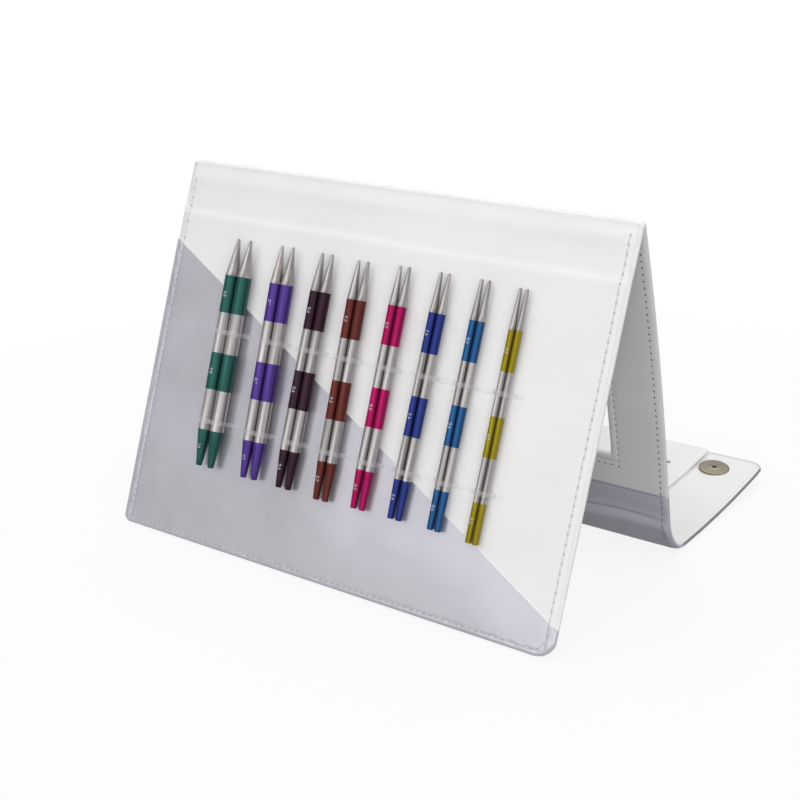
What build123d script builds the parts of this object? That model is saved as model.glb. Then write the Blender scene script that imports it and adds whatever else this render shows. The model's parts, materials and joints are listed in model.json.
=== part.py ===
from build123d import *
import math
import os

# Fold-over case for interchangeable knitting needle tips, standing as an easel.
# Millimetres. X runs along the ridge, Y from the needle panel to the closure flap, Z up.
# In profile the case is a chain: needle panel, top spine, back panel, bottom spine, flap.
# Each panel has a local frame on its hinge axes: X across, Y along it, Z out of its lining.

# Chain: each length runs from hinge axis to hinge axis, or to the panel's free end.
CASE_WIDTH = 280.4
PANEL_LENGTH = 179.2     # the needle panel and the back panel
SPINE_LENGTH = 28.0      # the top spine and the bottom spine
FLAP_LENGTH = 124.3
NEEDLE_PANEL_ANGLE = 69.7
TOP_SPINE_ANGLE = 67.75
BOTTOM_SPINE_ANGLE = 50.2
FLAP_ANGLE = 3.16
BACK_BOW = 3.3           # bulges this far towards its lining at mid length
BOTTOM_SPINE_BOW = 2.6   # bulges towards its cover
FLAP_BOW = 2.5           # bulges towards its cover, so its free end is off the table
LEFT_CORNER_R = 5.0      # at the needle panel's foot
RIGHT_CORNER_R = 11.0
FLAP_CORNER_R = 9.0

# Closed case, for placing the two halves of each snap opposite each other
CLOSED_SPINE_ANGLE = 4.0   # the top spine leans outward when the case is shut
CLOSED_SLOPE_ANGLE = 1.95  # the needle panel and the flap slope down to the bottom spine

# Panel build: cover skin, board, lining skin
THICK = 3.0
COVER_SKIN = 0.6
LINING_SKIN = 0.7
RIM = 1.0                # cover turned up round the board's edge
AXIS_UP = 0.8            # hinge axis above the cover face
COVER_EDGE_R = 1.0
LINING_EDGE_R = 0.5
FOLD_CLEAR = 0.3         # between a rolled fold and the end of the next panel
FOLD_TONGUE = 1.4        # thickness of the leather that joins a fold to its panel

# Window and binding of the back panel
WINDOW_SIDE = 32.2       # from the case's side
WINDOW_TOP = 31.0        # from the ridge axis
WINDOW_BOTTOM = 37.9     # from the lower axis
FILM_MARGIN = 5.0
FILM_THICK = 0.4
BAND_HEIGHT = 18.7       # on the back panel, from the lower axis
FLAP_BAND = 16.0

# Diagonal overlay on the needle panel: its upper edge runs from side to side
OVERLAY_THICK = 0.7
OVERLAY_LEFT_DROP = 14.5     # below the crease axis
OVERLAY_RIGHT_HEIGHT = 13.8  # above the panel's foot

# Needle tips: two of each size; positions across the panel at the point and at the socket end
DIAMETERS = [8.0, 7.0, 6.0, 5.5, 5.0, 4.5, 4.0, 3.5]
PAIR_TIP_X = [-86.7, -57.1, -30.8, -7.5, 18.1, 42.2, 65.5, 87.1]
PAIR_END_X = [-84.2, -53.3, -29.8, -4.9, 18.6, 41.3, 64.7, 86.9]
TIP_DROP = [9.8, 9.5, 9.4, 10.0, 9.0, 8.8, 8.7, 9.7]
PAIR_GAP = 0.4
NEEDLE_LENGTH = 126.0
CAP_LENGTH = 20.3
CONE_LENGTH = 20.6
END_R = 1.65
TIP_R = 0.85
TIP_ROUNDING = 0.8
SOCKET_R = 1.1
SOCKET_DEPTH = 8.0
NEEDLE_CLEAR = 0.3

# Elastic loops, one continuous strip per row
LOOP_DROP = [61.5, 110.7]
LOOP_WIDTH = 2.6
LOOP_THICK = 0.45
LOOP_CLEAR = 0.35
LOOP_END = 4.0

# Magnetic snaps
SNAP_SIDE = 25.7         # snap centre, from the case's side
SNAP_ALONG = 104.3
SNAP_R = 9.3
SNAP_FACE = 1.7
SNAP_HUB_R = 3.6
SNAP_HUB_HEIGHT = 2.4
SNAP_HOLE_R = 2.3
SNAP_SHELL = 0.5
STUD_R = 7.0
STUD_HEIGHT = 1.1
PIN_R = 1.8
PIN_HEIGHT = 3.4
PIN_CHAMFER = 0.4
WASHER_R = 6.0
WASHER_THICK = 0.5

# Raised panel on the flap's lining
PAD_SIDE = 36.4          # from the case's side
PAD_START = 13.0
PAD_END_INSET = 2.4
PAD_HEIGHT = 3.0
PAD_SKIN = 0.8
PAD_CORNER_R = 1.5
PAD_EDGE_R = 0.7

LINING_UP = THICK - AXIS_UP
FOLD_GAP = LINING_UP + FOLD_CLEAR
BOARD_LOW = COVER_SKIN - AXIS_UP
LINING_LOW = LINING_UP - LINING_SKIN
FAR = 2 * CASE_WIDTH     # longer than the whole case
SNAP_X = CASE_WIDTH / 2 - SNAP_SIDE


class Panel:
    """One stiff panel in its local frame: flat, or an arc in profile.

    Points are given by s, the distance along it, and c, the height above the arc of the axes.
    """

    def __init__(self, length, bow, low_end, high_end, corners_low=(0.0, 0.0), corner_high=0.0):
        self.length = length
        self.bow = bow
        self.side = 1 if bow > 0 else -1
        self.corners_low = corners_low
        self.corner_high = corner_high
        self.radius = 0.0
        self.half_angle = 0.0
        self.arc = length
        if bow:
            self.radius = (length ** 2 / 4 + bow ** 2) / (2 * abs(bow))
            self.half_angle = math.asin(length / 2 / self.radius)
            self.arc = 2 * self.half_angle * self.radius
        self.low_end = low_end
        self.high_end = self.arc - high_end

    def point(self, s, c, x=0.0):
        if not self.bow:
            return (x, s, c)
        a = s / self.radius - self.half_angle
        r = self.radius + self.side * c
        along = self.length / 2 + r * math.sin(a)
        return (x, along, self.bow + self.side * (r * math.cos(a) - self.radius))

    def coordinates(self, p):
        """The (s, c) of a point in the local frame."""
        if not self.bow:
            return p.Y, p.Z
        along = p.Y - self.length / 2
        up = self.side * (p.Z - self.bow) + self.radius
        angle = math.atan2(along, up)
        return (self.half_angle + angle) * self.radius, self.side * (math.hypot(along, up) - self.radius)

    def slope(self, s):
        """Angle of the surface at s, in degrees, from the chord towards the lining."""
        if not self.bow:
            return 0.0
        return self.side * math.degrees(self.half_angle - s / self.radius)

    def seat(self, x, s, c):
        """A frame on the panel, with Z out of the surface."""
        return Pos(*self.point(s, c, x)) * Rot(self.slope(s), 0, 0)

    def slab(self, s0, s1, c0, c1, half_width):
        """A stretch of the panel's thickness, from side to side."""
        if not self.bow:
            return block(-half_width, half_width, s0, s1, c0, c1)
        x = -half_width
        mid = (s0 + s1) / 2
        low = Edge.make_three_point_arc(*[self.point(s, c0, x) for s in (s0, mid, s1)])
        high = Edge.make_three_point_arc(*[self.point(s, c1, x) for s in (s1, mid, s0)])
        up = Edge.make_line(self.point(s1, c0, x), self.point(s1, c1, x))
        down = Edge.make_line(self.point(s0, c1, x), self.point(s0, c0, x))
        return extrude(Face(Wire([low, up, high, down])), 2 * half_width, dir=(1, 0, 0))

    def layer(self, inset, c0, c1):
        """One layer over the whole panel, drawn in from its edges by inset."""
        half_width = CASE_WIDTH / 2 - inset
        free_low = self.low_end == 0
        free_high = self.high_end == self.arc
        s0 = self.low_end + inset - (FOLD_GAP if free_low else 0)
        s1 = self.high_end - inset + (FOLD_GAP if free_high else 0)
        low = inset if free_low else -FAR
        high = self.length - inset if free_high else FAR
        low_radii = [max(r - inset, 0) for r in self.corners_low]
        high_r = max(self.corner_high - inset, 0) if free_high else 0
        shape = outline(half_width, low, high, low_radii, high_r)
        prism = Pos(0, 0, -FAR / 2) * extrude(shape, FAR)
        return self.slab(s0, s1, c0, c1, CASE_WIDTH) & prism

    def edges_at(self, solid, level, skip=-FAR):
        """The solid's edges at height level, apart from those that lie at s = skip."""
        kept = []
        for e in solid.edges():
            found = [self.coordinates(e @ t) for t in (0.0, 0.5, 1.0)]
            at_level = max(abs(c - level) for s, c in found) < 0.02
            skipped = max(abs(s - skip) for s, c in found) < 0.05
            if at_level and not skipped:
                kept.append(e)
        return kept

    def build(self):
        """Cover tray, board and lining. The cover stays square where its own fold joins it."""
        plate = self.layer(0, -AXIS_UP, LINING_UP)
        joined = self.low_end if self.low_end else -FAR
        plate = fillet(self.edges_at(plate, -AXIS_UP, joined), COVER_EDGE_R)
        plate = fillet(self.edges_at(plate, LINING_UP), LINING_EDGE_R)
        cover = plate - self.layer(RIM, BOARD_LOW, LINING_UP + THICK)
        board = self.layer(RIM, BOARD_LOW, LINING_LOW)
        lining = self.layer(RIM, LINING_LOW, LINING_UP)
        return cover, board, lining

    def fold(self):
        """Rolled leather about the axis at the panel's low end, with a tongue to the panel."""
        rod = Rot(0, 90, 0) * Cylinder(LINING_UP, CASE_WIDTH)
        below = block(-FAR, FAR, -FAR, FAR, -FAR, -AXIS_UP)
        rod = rod - Rot(self.slope(0), 0, 0) * below
        return rod + self.slab(0, self.low_end, -AXIS_UP, FOLD_TONGUE - AXIS_UP, CASE_WIDTH / 2)


def block(x0, x1, s0, s1, c0, c1):
    middle = Pos((x0 + x1) / 2, (s0 + s1) / 2, (c0 + c1) / 2)
    return middle * Box(x1 - x0, s1 - s0, c1 - c0)


def outline(half_width, low, high, low_radii, high_r):
    """A flat rectangle: its low corners, left and right, and its two high ones may be rounded."""
    shape = Pos(0, (low + high) / 2) * Rectangle(2 * half_width, high - low)
    for side, low_r in zip((0, -1), low_radii):
        corner = shape.vertices().sort_by(Axis.Y)[:2].sort_by(Axis.X)[side]
        if low_r:
            shape = fillet(corner, low_r)
    if high_r:
        shape = fillet(shape.vertices().sort_by(Axis.Y)[-2:], high_r)
    return shape


def place(y, z, angle, s, c=0.0):
    """Where (s, c) lies in a profile that starts at (y, z) in the direction angle."""
    a = math.radians(angle)
    return y + s * math.cos(a) - c * math.sin(a), z + s * math.sin(a) + c * math.cos(a)


def frame_at(y, z, angle):
    a = math.radians(angle)
    return Plane(origin=(0, y, z), x_dir=(1, 0, 0), z_dir=(0, -math.sin(a), math.cos(a)))


foot_corners = (LEFT_CORNER_R, RIGHT_CORNER_R)
needle_panel = Panel(PANEL_LENGTH, 0.0, 0.0, FOLD_GAP, corners_low=foot_corners)
top_spine = Panel(SPINE_LENGTH, 0.0, FOLD_GAP, FOLD_GAP)
back_panel = Panel(PANEL_LENGTH, BACK_BOW, FOLD_GAP, FOLD_GAP)
bottom_spine = Panel(SPINE_LENGTH, -BOTTOM_SPINE_BOW, FOLD_GAP, FOLD_GAP)
flap = Panel(FLAP_LENGTH, -FLAP_BOW, FOLD_GAP, 0.0, corner_high=FLAP_CORNER_R)

# Profile of the chain, from the needle panel's foot, before it is centred
RISE = math.radians(FLAP_ANGLE)
flap_axis_z = AXIS_UP + flap.radius - (flap.radius - FLAP_BOW) * math.cos(RISE)
flap_axis_z = flap_axis_z - FLAP_LENGTH / 2 * math.sin(RISE)
crease = place(0, 0, NEEDLE_PANEL_ANGLE, PANEL_LENGTH)
ridge = place(*crease, TOP_SPINE_ANGLE, SPINE_LENGTH)
lower_axis_z = flap_axis_z + SPINE_LENGTH * math.sin(math.radians(BOTTOM_SPINE_ANGLE))
BACK_ANGLE = math.degrees(math.asin((ridge[1] - lower_axis_z) / PANEL_LENGTH))
lower = place(*ridge, -BACK_ANGLE, PANEL_LENGTH)
bend = place(*lower, -BOTTOM_SPINE_ANGLE, SPINE_LENGTH)
free_end = place(*bend, FLAP_ANGLE, FLAP_LENGTH)

# Centred from the foot's lining edge, less its rounding, to the flap's free end
foot = place(0, 0, NEEDLE_PANEL_ANGLE, LINING_EDGE_R, LINING_UP - LINING_EDGE_R)
SHIFT = (LINING_EDGE_R - foot[0] - free_end[0]) / 2

NEEDLE_FRAME = frame_at(SHIFT, 0, NEEDLE_PANEL_ANGLE)
TOP_FRAME = frame_at(crease[0] + SHIFT, crease[1], TOP_SPINE_ANGLE)
BACK_FRAME = frame_at(ridge[0] + SHIFT, ridge[1], -BACK_ANGLE)
BOTTOM_FRAME = frame_at(lower[0] + SHIFT, lower[1], -BOTTOM_SPINE_ANGLE)
FLAP_FRAME = frame_at(bend[0] + SHIFT, bend[1], FLAP_ANGLE)

parts = {}


def put(name, shape, frame):
    parts[name] = frame.location * shape


# Needle panel

# With the case shut and the back panel along Y, each stud lies below its socket.
_, along, up = flap.point(SNAP_ALONG, LINING_UP)
socket_y, socket_z = place(PANEL_LENGTH, SPINE_LENGTH, 180 - CLOSED_SLOPE_ANGLE, along, up)
crease_y, crease_z = place(0, 0, 90 + CLOSED_SPINE_ANGLE, SPINE_LENGTH)
slope = math.radians(CLOSED_SLOPE_ANGLE)
drop = (socket_y - crease_y) * math.cos(slope) - (socket_z - crease_z) * math.sin(slope)
STUD_ALONG = PANEL_LENGTH - drop

cover, board, lining = needle_panel.build()
for side, x in (("left", -SNAP_X), ("right", SNAP_X)):
    washer_at = Pos(x, STUD_ALONG, BOARD_LOW + WASHER_THICK / 2)
    washer = washer_at * Cylinder(WASHER_R, WASHER_THICK)
    board = board - washer
    put("stud_washer_" + side, washer, NEEDLE_FRAME)
    disc = Pos(0, 0, -STUD_HEIGHT / 2) * Cylinder(STUD_R, STUD_HEIGHT)
    pin = Pos(0, 0, -PIN_HEIGHT / 2) * Cylinder(PIN_R, PIN_HEIGHT)
    pin = chamfer(pin.edges().filter_by(GeomType.CIRCLE).sort_by(Axis.Z)[0], PIN_CHAMFER)
    put("snap_stud_" + side, Pos(x, STUD_ALONG, -AXIS_UP) * (disc + pin), NEEDLE_FRAME)
put("needle_panel_cover", cover, NEEDLE_FRAME)
put("needle_panel_board", board, NEEDLE_FRAME)
put("needle_panel_lining", lining, NEEDLE_FRAME)

half = CASE_WIDTH / 2
overlay = needle_panel.layer(LINING_EDGE_R, LINING_UP, LINING_UP + OVERLAY_THICK)
edge_left = PANEL_LENGTH - OVERLAY_LEFT_DROP
corners = [(-half, edge_left), (half, OVERLAY_RIGHT_HEIGHT), (half, FAR), (-half, FAR)]
above = make_face(Polyline(*corners, close=True))
overlay = overlay - extrude(above, LINING_UP + THICK)
put("diagonal_overlay", overlay, NEEDLE_FRAME)

# Needle tips: each has a blind socket at its lower end


def needle_blank(diameter):
    """One tip, with its socket mouth at the origin and its point along +Z."""
    r = diameter / 2
    end_r = min(END_R, r)
    cone_start = NEEDLE_LENGTH - CONE_LENGTH
    profile = Polyline(
        (SOCKET_R, 0),
        (end_r, 0),
        (r, CAP_LENGTH),
        (r, cone_start),
        (TIP_R, NEEDLE_LENGTH - TIP_ROUNDING),
        (0, NEEDLE_LENGTH),
        (0, SOCKET_DEPTH),
        (SOCKET_R, SOCKET_DEPTH),
        close=True,
    )
    return revolve(Plane.XZ * make_face(profile), Axis.Z)


def needle_level(diameter):
    return LINING_UP + OVERLAY_THICK + NEEDLE_CLEAR + diameter / 2


def needle_frame(i, sign):
    """Local frame of one tip: origin at its socket mouth, Z towards its point."""
    tilt = math.atan2(PAIR_TIP_X[i] - PAIR_END_X[i], NEEDLE_LENGTH)
    aside = sign * (DIAMETERS[i] + PAIR_GAP) / 2
    x = PAIR_END_X[i] + aside * math.cos(tilt)
    y = PANEL_LENGTH - TIP_DROP[i] - NEEDLE_LENGTH * math.cos(tilt) - aside * math.sin(tilt)
    return Plane(
        origin=(x, y, needle_level(DIAMETERS[i])),
        x_dir=(math.cos(tilt), -math.sin(tilt), 0),
        z_dir=(math.sin(tilt), math.cos(tilt), 0),
    )


def needle_name(diameter, side):
    return "needle_%02d_%s" % (round(diameter * 10), side)


for i, diameter in enumerate(DIAMETERS):
    for side, sign in (("left", -1), ("right", 1)):
        tip = needle_frame(i, sign).location * needle_blank(diameter)
        put(needle_name(diameter, side), tip, NEEDLE_FRAME)

# Elastic loops: sewn flat between the pairs and arched over each of them


def arch(x, half_width, top, corner):
    shape = Pos(x, top / 2) * Rectangle(2 * half_width, top)
    return fillet(shape.vertices().sort_by(Axis.Y)[-2:], corner)


def strip(a, b, level):
    return Pos((a + b) / 2, level + LOOP_THICK / 2) * Rectangle(b - a, LOOP_THICK)


def level_under(x, drop):
    """Height of what a loop is sewn to."""
    edge = edge_left + (OVERLAY_RIGHT_HEIGHT - edge_left) * (x / CASE_WIDTH + 0.5)
    if PANEL_LENGTH - drop < edge:
        return LINING_UP + OVERLAY_THICK
    return LINING_UP


def loop_row(drop):
    share = (drop - TIP_DROP[0]) / NEEDLE_LENGTH
    start = PAIR_TIP_X[0] + (PAIR_END_X[0] - PAIR_TIP_X[0]) * share - DIAMETERS[0] - LOOP_END
    face = None
    for i, diameter in enumerate(DIAMETERS):
        share = (drop - TIP_DROP[i]) / NEEDLE_LENGTH
        x = PAIR_TIP_X[i] + (PAIR_END_X[i] - PAIR_TIP_X[i]) * share
        inside = diameter + PAIR_GAP / 2 + LOOP_CLEAR
        outside = inside + LOOP_THICK
        r = diameter / 2 + LOOP_CLEAR
        top = needle_level(diameter) + r
        over = arch(x, outside, top + LOOP_THICK, r + LOOP_THICK) - arch(x, inside, top, r)
        over = over - Pos(x, 0) * Rectangle(FAR, 2 * LINING_UP)
        piece = over + strip(start, x - outside, level_under(start, drop))
        face = piece if face is None else face + piece
        start = x + outside
    face = face + strip(start, start + LOOP_END, level_under(start, drop))
    solid = extrude(Plane.XZ * face, LOOP_WIDTH)
    return Pos(0, PANEL_LENGTH - drop + LOOP_WIDTH / 2, 0) * solid - overlay


put("upper_loops", loop_row(LOOP_DROP[0]), NEEDLE_FRAME)
put("lower_loops", loop_row(LOOP_DROP[1]), NEEDLE_FRAME)

# Top spine, with the crease fold at its lower end

cover, board, lining = top_spine.build()
put("top_spine_cover", cover, TOP_FRAME)
put("top_spine_board", board, TOP_FRAME)
put("top_spine_lining", lining, TOP_FRAME)
put("crease_fold", top_spine.fold(), TOP_FRAME)

# Back panel, with the ridge fold at its upper end and a film window

cover, board, lining = back_panel.build()
window_half = half - WINDOW_SIDE
window = block(-window_half, window_half, WINDOW_TOP, PANEL_LENGTH - WINDOW_BOTTOM, -FAR, FAR)
film_low = (BOARD_LOW + LINING_LOW - FILM_THICK) / 2
film = back_panel.slab(
    WINDOW_TOP - FILM_MARGIN,
    PANEL_LENGTH - WINDOW_BOTTOM + FILM_MARGIN,
    film_low,
    film_low + FILM_THICK,
    window_half + FILM_MARGIN,
)
band = block(-FAR, FAR, PANEL_LENGTH - BAND_HEIGHT, FAR, -FAR, FAR)
put("back_panel_cover", cover - window - band, BACK_FRAME)
put("back_panel_band", cover & band, BACK_FRAME)
put("back_panel_board", board - window - film, BACK_FRAME)
put("back_panel_lining", lining - window, BACK_FRAME)
put("window_film", film, BACK_FRAME)
put("ridge_fold", back_panel.fold(), BACK_FRAME)

# Bottom spine, bound in grey

cover, board, lining = bottom_spine.build()
put("bottom_spine_cover", cover, BOTTOM_FRAME)
put("bottom_spine_board", board, BOTTOM_FRAME)
put("bottom_spine_lining", lining, BOTTOM_FRAME)
put("lower_fold", bottom_spine.fold(), BOTTOM_FRAME)

# Closure flap, on the table with its lining up

HUB_INNER = SNAP_HOLE_R + SNAP_SHELL
shell_profile = Polyline(
    (SNAP_HOLE_R, 0),
    (SNAP_HOLE_R, SNAP_HUB_HEIGHT),
    (SNAP_HUB_R, SNAP_HUB_HEIGHT),
    (SNAP_HUB_R + SNAP_SHELL, SNAP_FACE),
    (SNAP_R - SNAP_SHELL, SNAP_FACE),
    (SNAP_R, SNAP_FACE - SNAP_SHELL),
    (SNAP_R, 0),
    (SNAP_R - SNAP_SHELL, 0),
    (SNAP_R - SNAP_SHELL, SNAP_FACE - SNAP_SHELL),
    (HUB_INNER, SNAP_FACE - SNAP_SHELL),
    (HUB_INNER, 0),
    close=True,
)
shell = revolve(Plane.XZ * make_face(shell_profile), Axis.Z)
MAGNET_HEIGHT = SNAP_FACE - SNAP_SHELL
magnet = Cylinder(SNAP_R - SNAP_SHELL, MAGNET_HEIGHT) - Cylinder(HUB_INNER, THICK)
magnet = Pos(0, 0, MAGNET_HEIGHT / 2) * magnet
# A flat disc on a hollow surface stands on its rim.
RIM_LIFT = SNAP_R ** 2 / flap.radius
cover, board, lining = flap.build()
for side, x in (("left", -SNAP_X), ("right", SNAP_X)):
    seat = flap.seat(x, SNAP_ALONG, LINING_UP + RIM_LIFT)
    recess = flap.seat(x, SNAP_ALONG, LINING_LOW - WASHER_THICK - RIM_LIFT)
    board = board - recess * Pos(0, 0, THICK / 2) * Cylinder(WASHER_R, THICK)
    washer = recess * Pos(0, 0, WASHER_THICK / 2) * Cylinder(WASHER_R, WASHER_THICK)
    put("socket_washer_" + side, washer, FLAP_FRAME)
    put("snap_socket_" + side, seat * shell, FLAP_FRAME)
    put("snap_magnet_" + side, seat * magnet, FLAP_FRAME)
band = block(-FAR, FAR, -FAR, FLAP_BAND, -FAR, FAR)
put("flap_cover", cover - band, FLAP_FRAME)
put("flap_band", cover & band, FLAP_FRAME)
put("flap_board", board, FLAP_FRAME)
put("flap_lining", lining, FLAP_FRAME)
put("flap_fold", flap.fold(), FLAP_FRAME)


def pad_layer(inset, height):
    high = FLAP_LENGTH - PAD_END_INSET - inset
    corner = max(PAD_CORNER_R - inset, 0)
    shape = outline(half - PAD_SIDE - inset, PAD_START + inset, high, (corner, corner), corner)
    prism = Pos(0, 0, -FAR / 2) * extrude(shape, FAR)
    return flap.slab(0, flap.arc, LINING_UP, LINING_UP + height, CASE_WIDTH) & prism


pad = pad_layer(0, PAD_HEIGHT)
pad = fillet(flap.edges_at(pad, LINING_UP + PAD_HEIGHT), PAD_EDGE_R)
core = pad_layer(PAD_SKIN, PAD_HEIGHT - PAD_SKIN)
put("flap_pad_skin", pad - core, FLAP_FRAME)
put("flap_pad_core", core, FLAP_FRAME)

os.makedirs("parts", exist_ok=True)
for name, shape in parts.items():
    shape.label = name
    export_step(shape, "parts/%s.step" % name)

box = Compound(children=list(parts.values())).bounding_box()
print(len(parts), "parts from", box.min, "to", box.max)
for name, spot in (("crease", crease), ("ridge", ridge), ("lower", lower), ("bend", bend)):
    print(name, "axis at y %.3f z %.3f" % (spot[0] + SHIFT, spot[1]))
print("back panel's angle %.3f" % BACK_ANGLE)
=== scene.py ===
import json
import math
import random

import bmesh
import bpy
from mathutils import Matrix, Vector, noise


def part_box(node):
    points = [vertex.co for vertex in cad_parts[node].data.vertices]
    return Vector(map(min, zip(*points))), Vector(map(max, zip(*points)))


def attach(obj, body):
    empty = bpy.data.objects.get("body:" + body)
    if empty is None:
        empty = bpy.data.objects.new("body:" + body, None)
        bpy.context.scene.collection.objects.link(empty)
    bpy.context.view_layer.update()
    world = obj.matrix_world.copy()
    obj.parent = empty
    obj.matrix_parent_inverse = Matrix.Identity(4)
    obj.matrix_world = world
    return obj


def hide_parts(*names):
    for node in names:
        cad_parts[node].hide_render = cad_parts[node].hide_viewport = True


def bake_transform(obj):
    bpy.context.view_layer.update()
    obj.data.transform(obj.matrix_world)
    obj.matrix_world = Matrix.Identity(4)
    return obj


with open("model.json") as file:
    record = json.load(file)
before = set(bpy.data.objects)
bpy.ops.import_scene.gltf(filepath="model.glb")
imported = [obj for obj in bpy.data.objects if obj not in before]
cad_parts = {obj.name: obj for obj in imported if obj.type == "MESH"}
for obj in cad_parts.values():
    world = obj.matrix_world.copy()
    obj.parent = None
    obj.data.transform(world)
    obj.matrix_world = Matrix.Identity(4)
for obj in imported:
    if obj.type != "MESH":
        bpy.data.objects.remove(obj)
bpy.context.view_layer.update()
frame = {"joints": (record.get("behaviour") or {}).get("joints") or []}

MM = 0.001

# Sizes in millimetres, as in the part's source
WIDTH = 280.4
HALF = WIDTH / 2
PANEL_LENGTH = 179.2
SPINE_LENGTH = 28.0
FLAP_LENGTH = 124.3
BACK_BOW = 3.3
SPINE_BOW = -2.6
FLAP_BOW = -2.5
AXIS_UP = 0.8
LINING_UP = 2.2
FOOT_RADII = (5.0, 11.0)
FLAP_RADII = (9.0, 9.0)
WINDOW_HALF = 108.0
WINDOW_TOP = 31.0
WINDOW_BOTTOM = 141.3
BAND_START = 160.5
FLAP_BAND = 16.0
OVERLAY_THICK = 0.7
OVERLAY_LEFT = 14.5
OVERLAY_RIGHT = 165.4
POCKET_UP = LINING_UP + 0.5
DIAMETERS = [8.0, 7.0, 6.0, 5.5, 5.0, 4.5, 4.0, 3.5]
PAIR_TIP_X = [-86.7, -57.1, -30.8, -7.5, 18.1, 42.2, 65.5, 87.1]
PAIR_END_X = [-84.2, -53.3, -29.8, -4.9, 18.6, 41.3, 64.7, 86.9]
TIP_DROP = [9.8, 9.5, 9.4, 10.0, 9.0, 8.8, 8.7, 9.7]
PAIR_GAP = 0.4
NEEDLE_LENGTH = 126.0
NEEDLE_CLEAR = 0.3
LOOP_DROP = [61.5, 110.7]
SNAP_X = 114.5
SNAP_ALONG = 104.3
PAD_HALF = 103.8
PAD_START = 13.0
PAD_END = FLAP_LENGTH - 2.4
PAD_HEIGHT = 3.0
NEEDLE_ANGLE = math.radians(69.7)
FLAP_ANGLE = math.radians(3.16)


# ---- materials

def srgb(text):
    value = [int(text[i:i + 2], 16) / 255 for i in (0, 2, 4)]
    return tuple(v / 12.92 if v <= 0.04045 else ((v + 0.055) / 1.055) ** 2.4 for v in value) + (1.0,)


class Nodes:
    """A node tree, and the few nodes that the finishes and the studio share."""

    def __init__(self, tree):
        self.tree = tree

    def add(self, kind, links=None, **values):
        """A new node. values are its settings and sockets, links the outputs that feed it."""
        node = self.tree.nodes.new(kind)
        for key, value in values.items():
            if hasattr(node, key):
                setattr(node, key, value)
            else:
                node.inputs[key.replace("_", " ")].default_value = value
        for key, output in (links or {}).items():
            self.tree.links.new(output, node.inputs[key])
        return node

    def math(self, operation, *values):
        node = self.add("ShaderNodeMath", operation=operation)
        for socket, value in zip(node.inputs, values):
            if isinstance(value, (int, float)):
                socket.default_value = value
            else:
                self.tree.links.new(value, socket)
        return node.outputs[0]

    def ramp(self, factor, *stops):
        """The colour at a factor, from (place, colour) stops."""
        node = self.add("ShaderNodeValToRGB", {"Fac": factor})
        elements = node.color_ramp.elements
        while len(elements) < len(stops):
            elements.new(0.5)
        for element, (place, colour) in zip(elements, stops):
            element.position = place
            element.color = colour
        return node.outputs["Color"]

    def range(self, factor, low, high, from_low=0.0, from_high=1.0):
        node = self.add("ShaderNodeMapRange", {"Value": factor})
        for socket, value in zip(node.inputs[1:5], (from_low, from_high, low, high)):
            socket.default_value = value
        return node.outputs["Result"]

    def rays(self):
        """1 for what the camera sees, straight or through something clear, and 1 for what a gloss sees."""
        paths = self.add("ShaderNodeLightPath").outputs
        return self.math("MAXIMUM", paths["Is Camera Ray"], paths["Is Transmission Ray"]), paths["Is Glossy Ray"]


class Material(Nodes):
    """A Principled material, with what its finish is made of."""

    def __init__(self, name, roughness, **sockets):
        self.data = bpy.data.materials.new(name)
        self.data.use_nodes = True
        super().__init__(self.data.node_tree)
        self.shader = self.tree.nodes["Principled BSDF"]
        for key, value in {"Roughness": roughness, **sockets}.items():
            self.shader.inputs[key.replace("_", " ")].default_value = value
        self.coordinates = self.add("ShaderNodeTexCoord").outputs["Object"]

    def link(self, output, socket):
        self.tree.links.new(output, self.shader.inputs[socket])

    def noise(self, scale, detail, vector=None, **values):
        links = {"Vector": vector or self.coordinates}
        return self.add("ShaderNodeTexNoise", links, Scale=scale, Detail=detail, **values).outputs["Fac"]

    def bump(self, height, distance, strength, below=None):
        links = {"Height": height}
        if below:
            links["Normal"] = below
        return self.add("ShaderNodeBump", links, Distance=distance, Strength=strength).outputs["Normal"]


def leather(name, light, dark, roughness, gloss=0.0):
    """Coated leather: fine pebbled grain, soft clouds of colour and of shine."""
    m = Material(name, roughness, Coat_Weight=gloss, Coat_Roughness=0.25)
    m.link(m.ramp(m.noise(18.0, 4.0, Roughness=0.55), (0.3, srgb(dark)), (0.7, srgb(light))), "Base Color")
    pebbles = m.add("ShaderNodeTexVoronoi", {"Vector": m.coordinates}, feature="DISTANCE_TO_EDGE", Scale=1500.0)
    grain = m.math("ADD", pebbles.outputs["Distance"], m.math("MULTIPLY", m.noise(2600.0, 3.0), 0.35))
    soft = m.bump(m.noise(140.0, 3.0), 0.0006, 0.1)
    m.link(m.bump(grain, 0.0001, 0.5, soft), "Normal")
    m.link(m.range(m.noise(60.0, 3.0), roughness - 0.07, roughness + 0.09), "Roughness")
    return m.data


def silvered(name, light, dark):
    """Pearly coated sheet that mirrors the room softly, with blurred blotches in its gloss."""
    m = Material(name, 0.3, Metallic=0.68)
    m.link(m.ramp(m.noise(11.0, 3.0, Distortion=0.6), (0.35, srgb(dark)), (0.65, srgb(light))), "Base Color")
    m.link(m.range(m.noise(30.0, 3.0), 0.29, 0.37, 0.3, 0.7), "Roughness")
    m.link(m.bump(m.noise(90.0, 3.0), 0.0006, 0.12), "Normal")
    return m.data


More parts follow.
